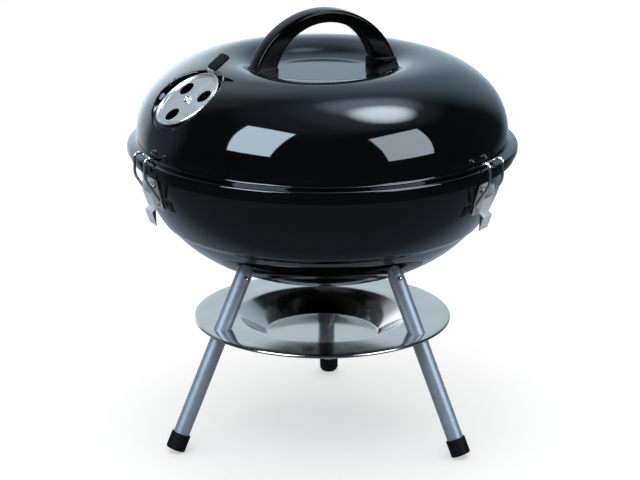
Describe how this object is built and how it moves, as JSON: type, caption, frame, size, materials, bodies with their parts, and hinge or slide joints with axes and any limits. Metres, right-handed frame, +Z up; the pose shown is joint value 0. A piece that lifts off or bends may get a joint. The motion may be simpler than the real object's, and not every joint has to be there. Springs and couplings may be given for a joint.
{
  "type": "kettle grill",
  "caption": "Small round charcoal kettle grill: black bowl and domed lid with arch handle and turning vent, wire latches, splayed tube legs and a dished ash catcher.",
  "frame": {"origin": "on the ground under the middle of the bowl", "axes": "+Z up through the bowl and the lid's handle, -Y to the front between two legs, +X to the right"},
  "size_m": [0.356, 0.3602, 0.4002],
  "materials": {
    "enamel": "deep gloss black enamel",
    "handle_plastic": "semi-gloss moulded black",
    "grip_rubber": "matt black sleeve",
    "damper_steel": "plain plated sheet",
    "bright_fastener": "bright zinc",
    "leg_paint": "silver-blue metallic",
    "insert_steel": "turned",
    "foot_rubber": "matt",
    "plate_steel": "polished sheet",
    "grate_chrome": "plated wire",
    "latch_plate": "bright plated sheet",
    "latch_wire": "bright plated wire"
  },
  "bodies": {
    "grill": {"ash_catcher": "plate_steel", "bowl_shell": "enamel", "charcoal_grate": "grate_chrome", "charcoal_grate_rim": "grate_chrome", "cooking_grate": "grate_chrome", "cooking_grate_rim": "grate_chrome", "foot_cap_left": "foot_rubber", "foot_cap_rear": "foot_rubber", "foot_cap_right": "foot_rubber", "latch_bracket_left": "latch_plate", "latch_bracket_rear": "latch_plate", "latch_bracket_right": "latch_plate", "latch_pin_left": "bright_fastener", "latch_pin_rear": "bright_fastener", "latch_pin_right": "bright_fastener", "latch_rivets": "bright_fastener", "leg_bolts": "bright_fastener", "leg_insert_left": "insert_steel", "leg_insert_rear": "insert_steel", "leg_insert_right": "insert_steel", "leg_left": "leg_paint", "leg_rear": "leg_paint", "leg_right": "leg_paint", "leg_rivets": "bright_fastener"},
    "lid": {"lid_shell": "enamel", "lid_handle": "handle_plastic", "handle_shoe_left": "handle_plastic", "handle_shoe_right": "handle_plastic", "handle_screws": "bright_fastener", "handle_washers": "bright_fastener", "lid_damper_rivet": "bright_fastener", "lid_damper_washer": "bright_fastener"},
    "damper": {"lid_damper_disc": "damper_steel", "lid_damper_grip": "grip_rubber"},
    "lever_rear": {"latch_lever_rear": "latch_plate"},
    "bail_rear": {"latch_bail_rear": "latch_wire"},
    "lever_left": {"latch_lever_left": "latch_plate"},
    "bail_left": {"latch_bail_left": "latch_wire"},
    "lever_right": {"latch_lever_right": "latch_plate"},
    "bail_right": {"latch_bail_right": "latch_wire"}
  },
  "joints": [
    {"name": "lid_lift", "type": "slide", "parent": "grill", "child": "lid", "axis": [0, 0, 1], "range_m": [0, 0.25]},
    {"name": "damper_turn", "type": "hinge", "parent": "lid", "child": "damper", "pos_m": [-0.11472, -0.0745, 0.33214], "axis": [-0.493, -0.3201, 0.809], "range_deg": [0, 50]},
    {"name": "lever_rear_swing", "type": "hinge", "parent": "grill", "child": "lever_rear", "pos_m": [0, 0.17178, 0.25846], "axis": [1, 0, 0], "range_deg": [0, 100]},
    {"name": "bail_rear_swing", "type": "hinge", "parent": "lever_rear", "child": "bail_rear", "pos_m": [0, 0.1678, 0.24546], "axis": [1, 0, 0], "range_deg": [-125, 0]},
    {"name": "lever_left_swing", "type": "hinge", "parent": "grill", "child": "lever_left", "pos_m": [-0.14877, -0.08589, 0.25846], "axis": [-0.5, 0.866, 0], "range_deg": [0, 100]},
    {"name": "bail_left_swing", "type": "hinge", "parent": "lever_left", "child": "bail_left", "pos_m": [-0.14532, -0.0839, 0.24546], "axis": [-0.5, 0.866, 0], "range_deg": [-125, 0]},
    {"name": "lever_right_swing", "type": "hinge", "parent": "grill", "child": "lever_right", "pos_m": [0.14877, -0.08589, 0.25846], "axis": [-0.5, -0.866, 0], "range_deg": [0, 100]},
    {"name": "bail_right_swing", "type": "hinge", "parent": "lever_right", "child": "bail_right", "pos_m": [0.14532, -0.0839, 0.24546], "axis": [-0.5, -0.866, 0], "range_deg": [-125, 0]}
  ],
  "couplings": [
    {"joint": "bail_rear_swing", "follows": "lever_rear_swing", "ratio": -1.25},
    {"joint": "bail_left_swing", "follows": "lever_left_swing", "ratio": -1.25},
    {"joint": "bail_right_swing", "follows": "lever_right_swing", "ratio": -1.25}
  ]
}
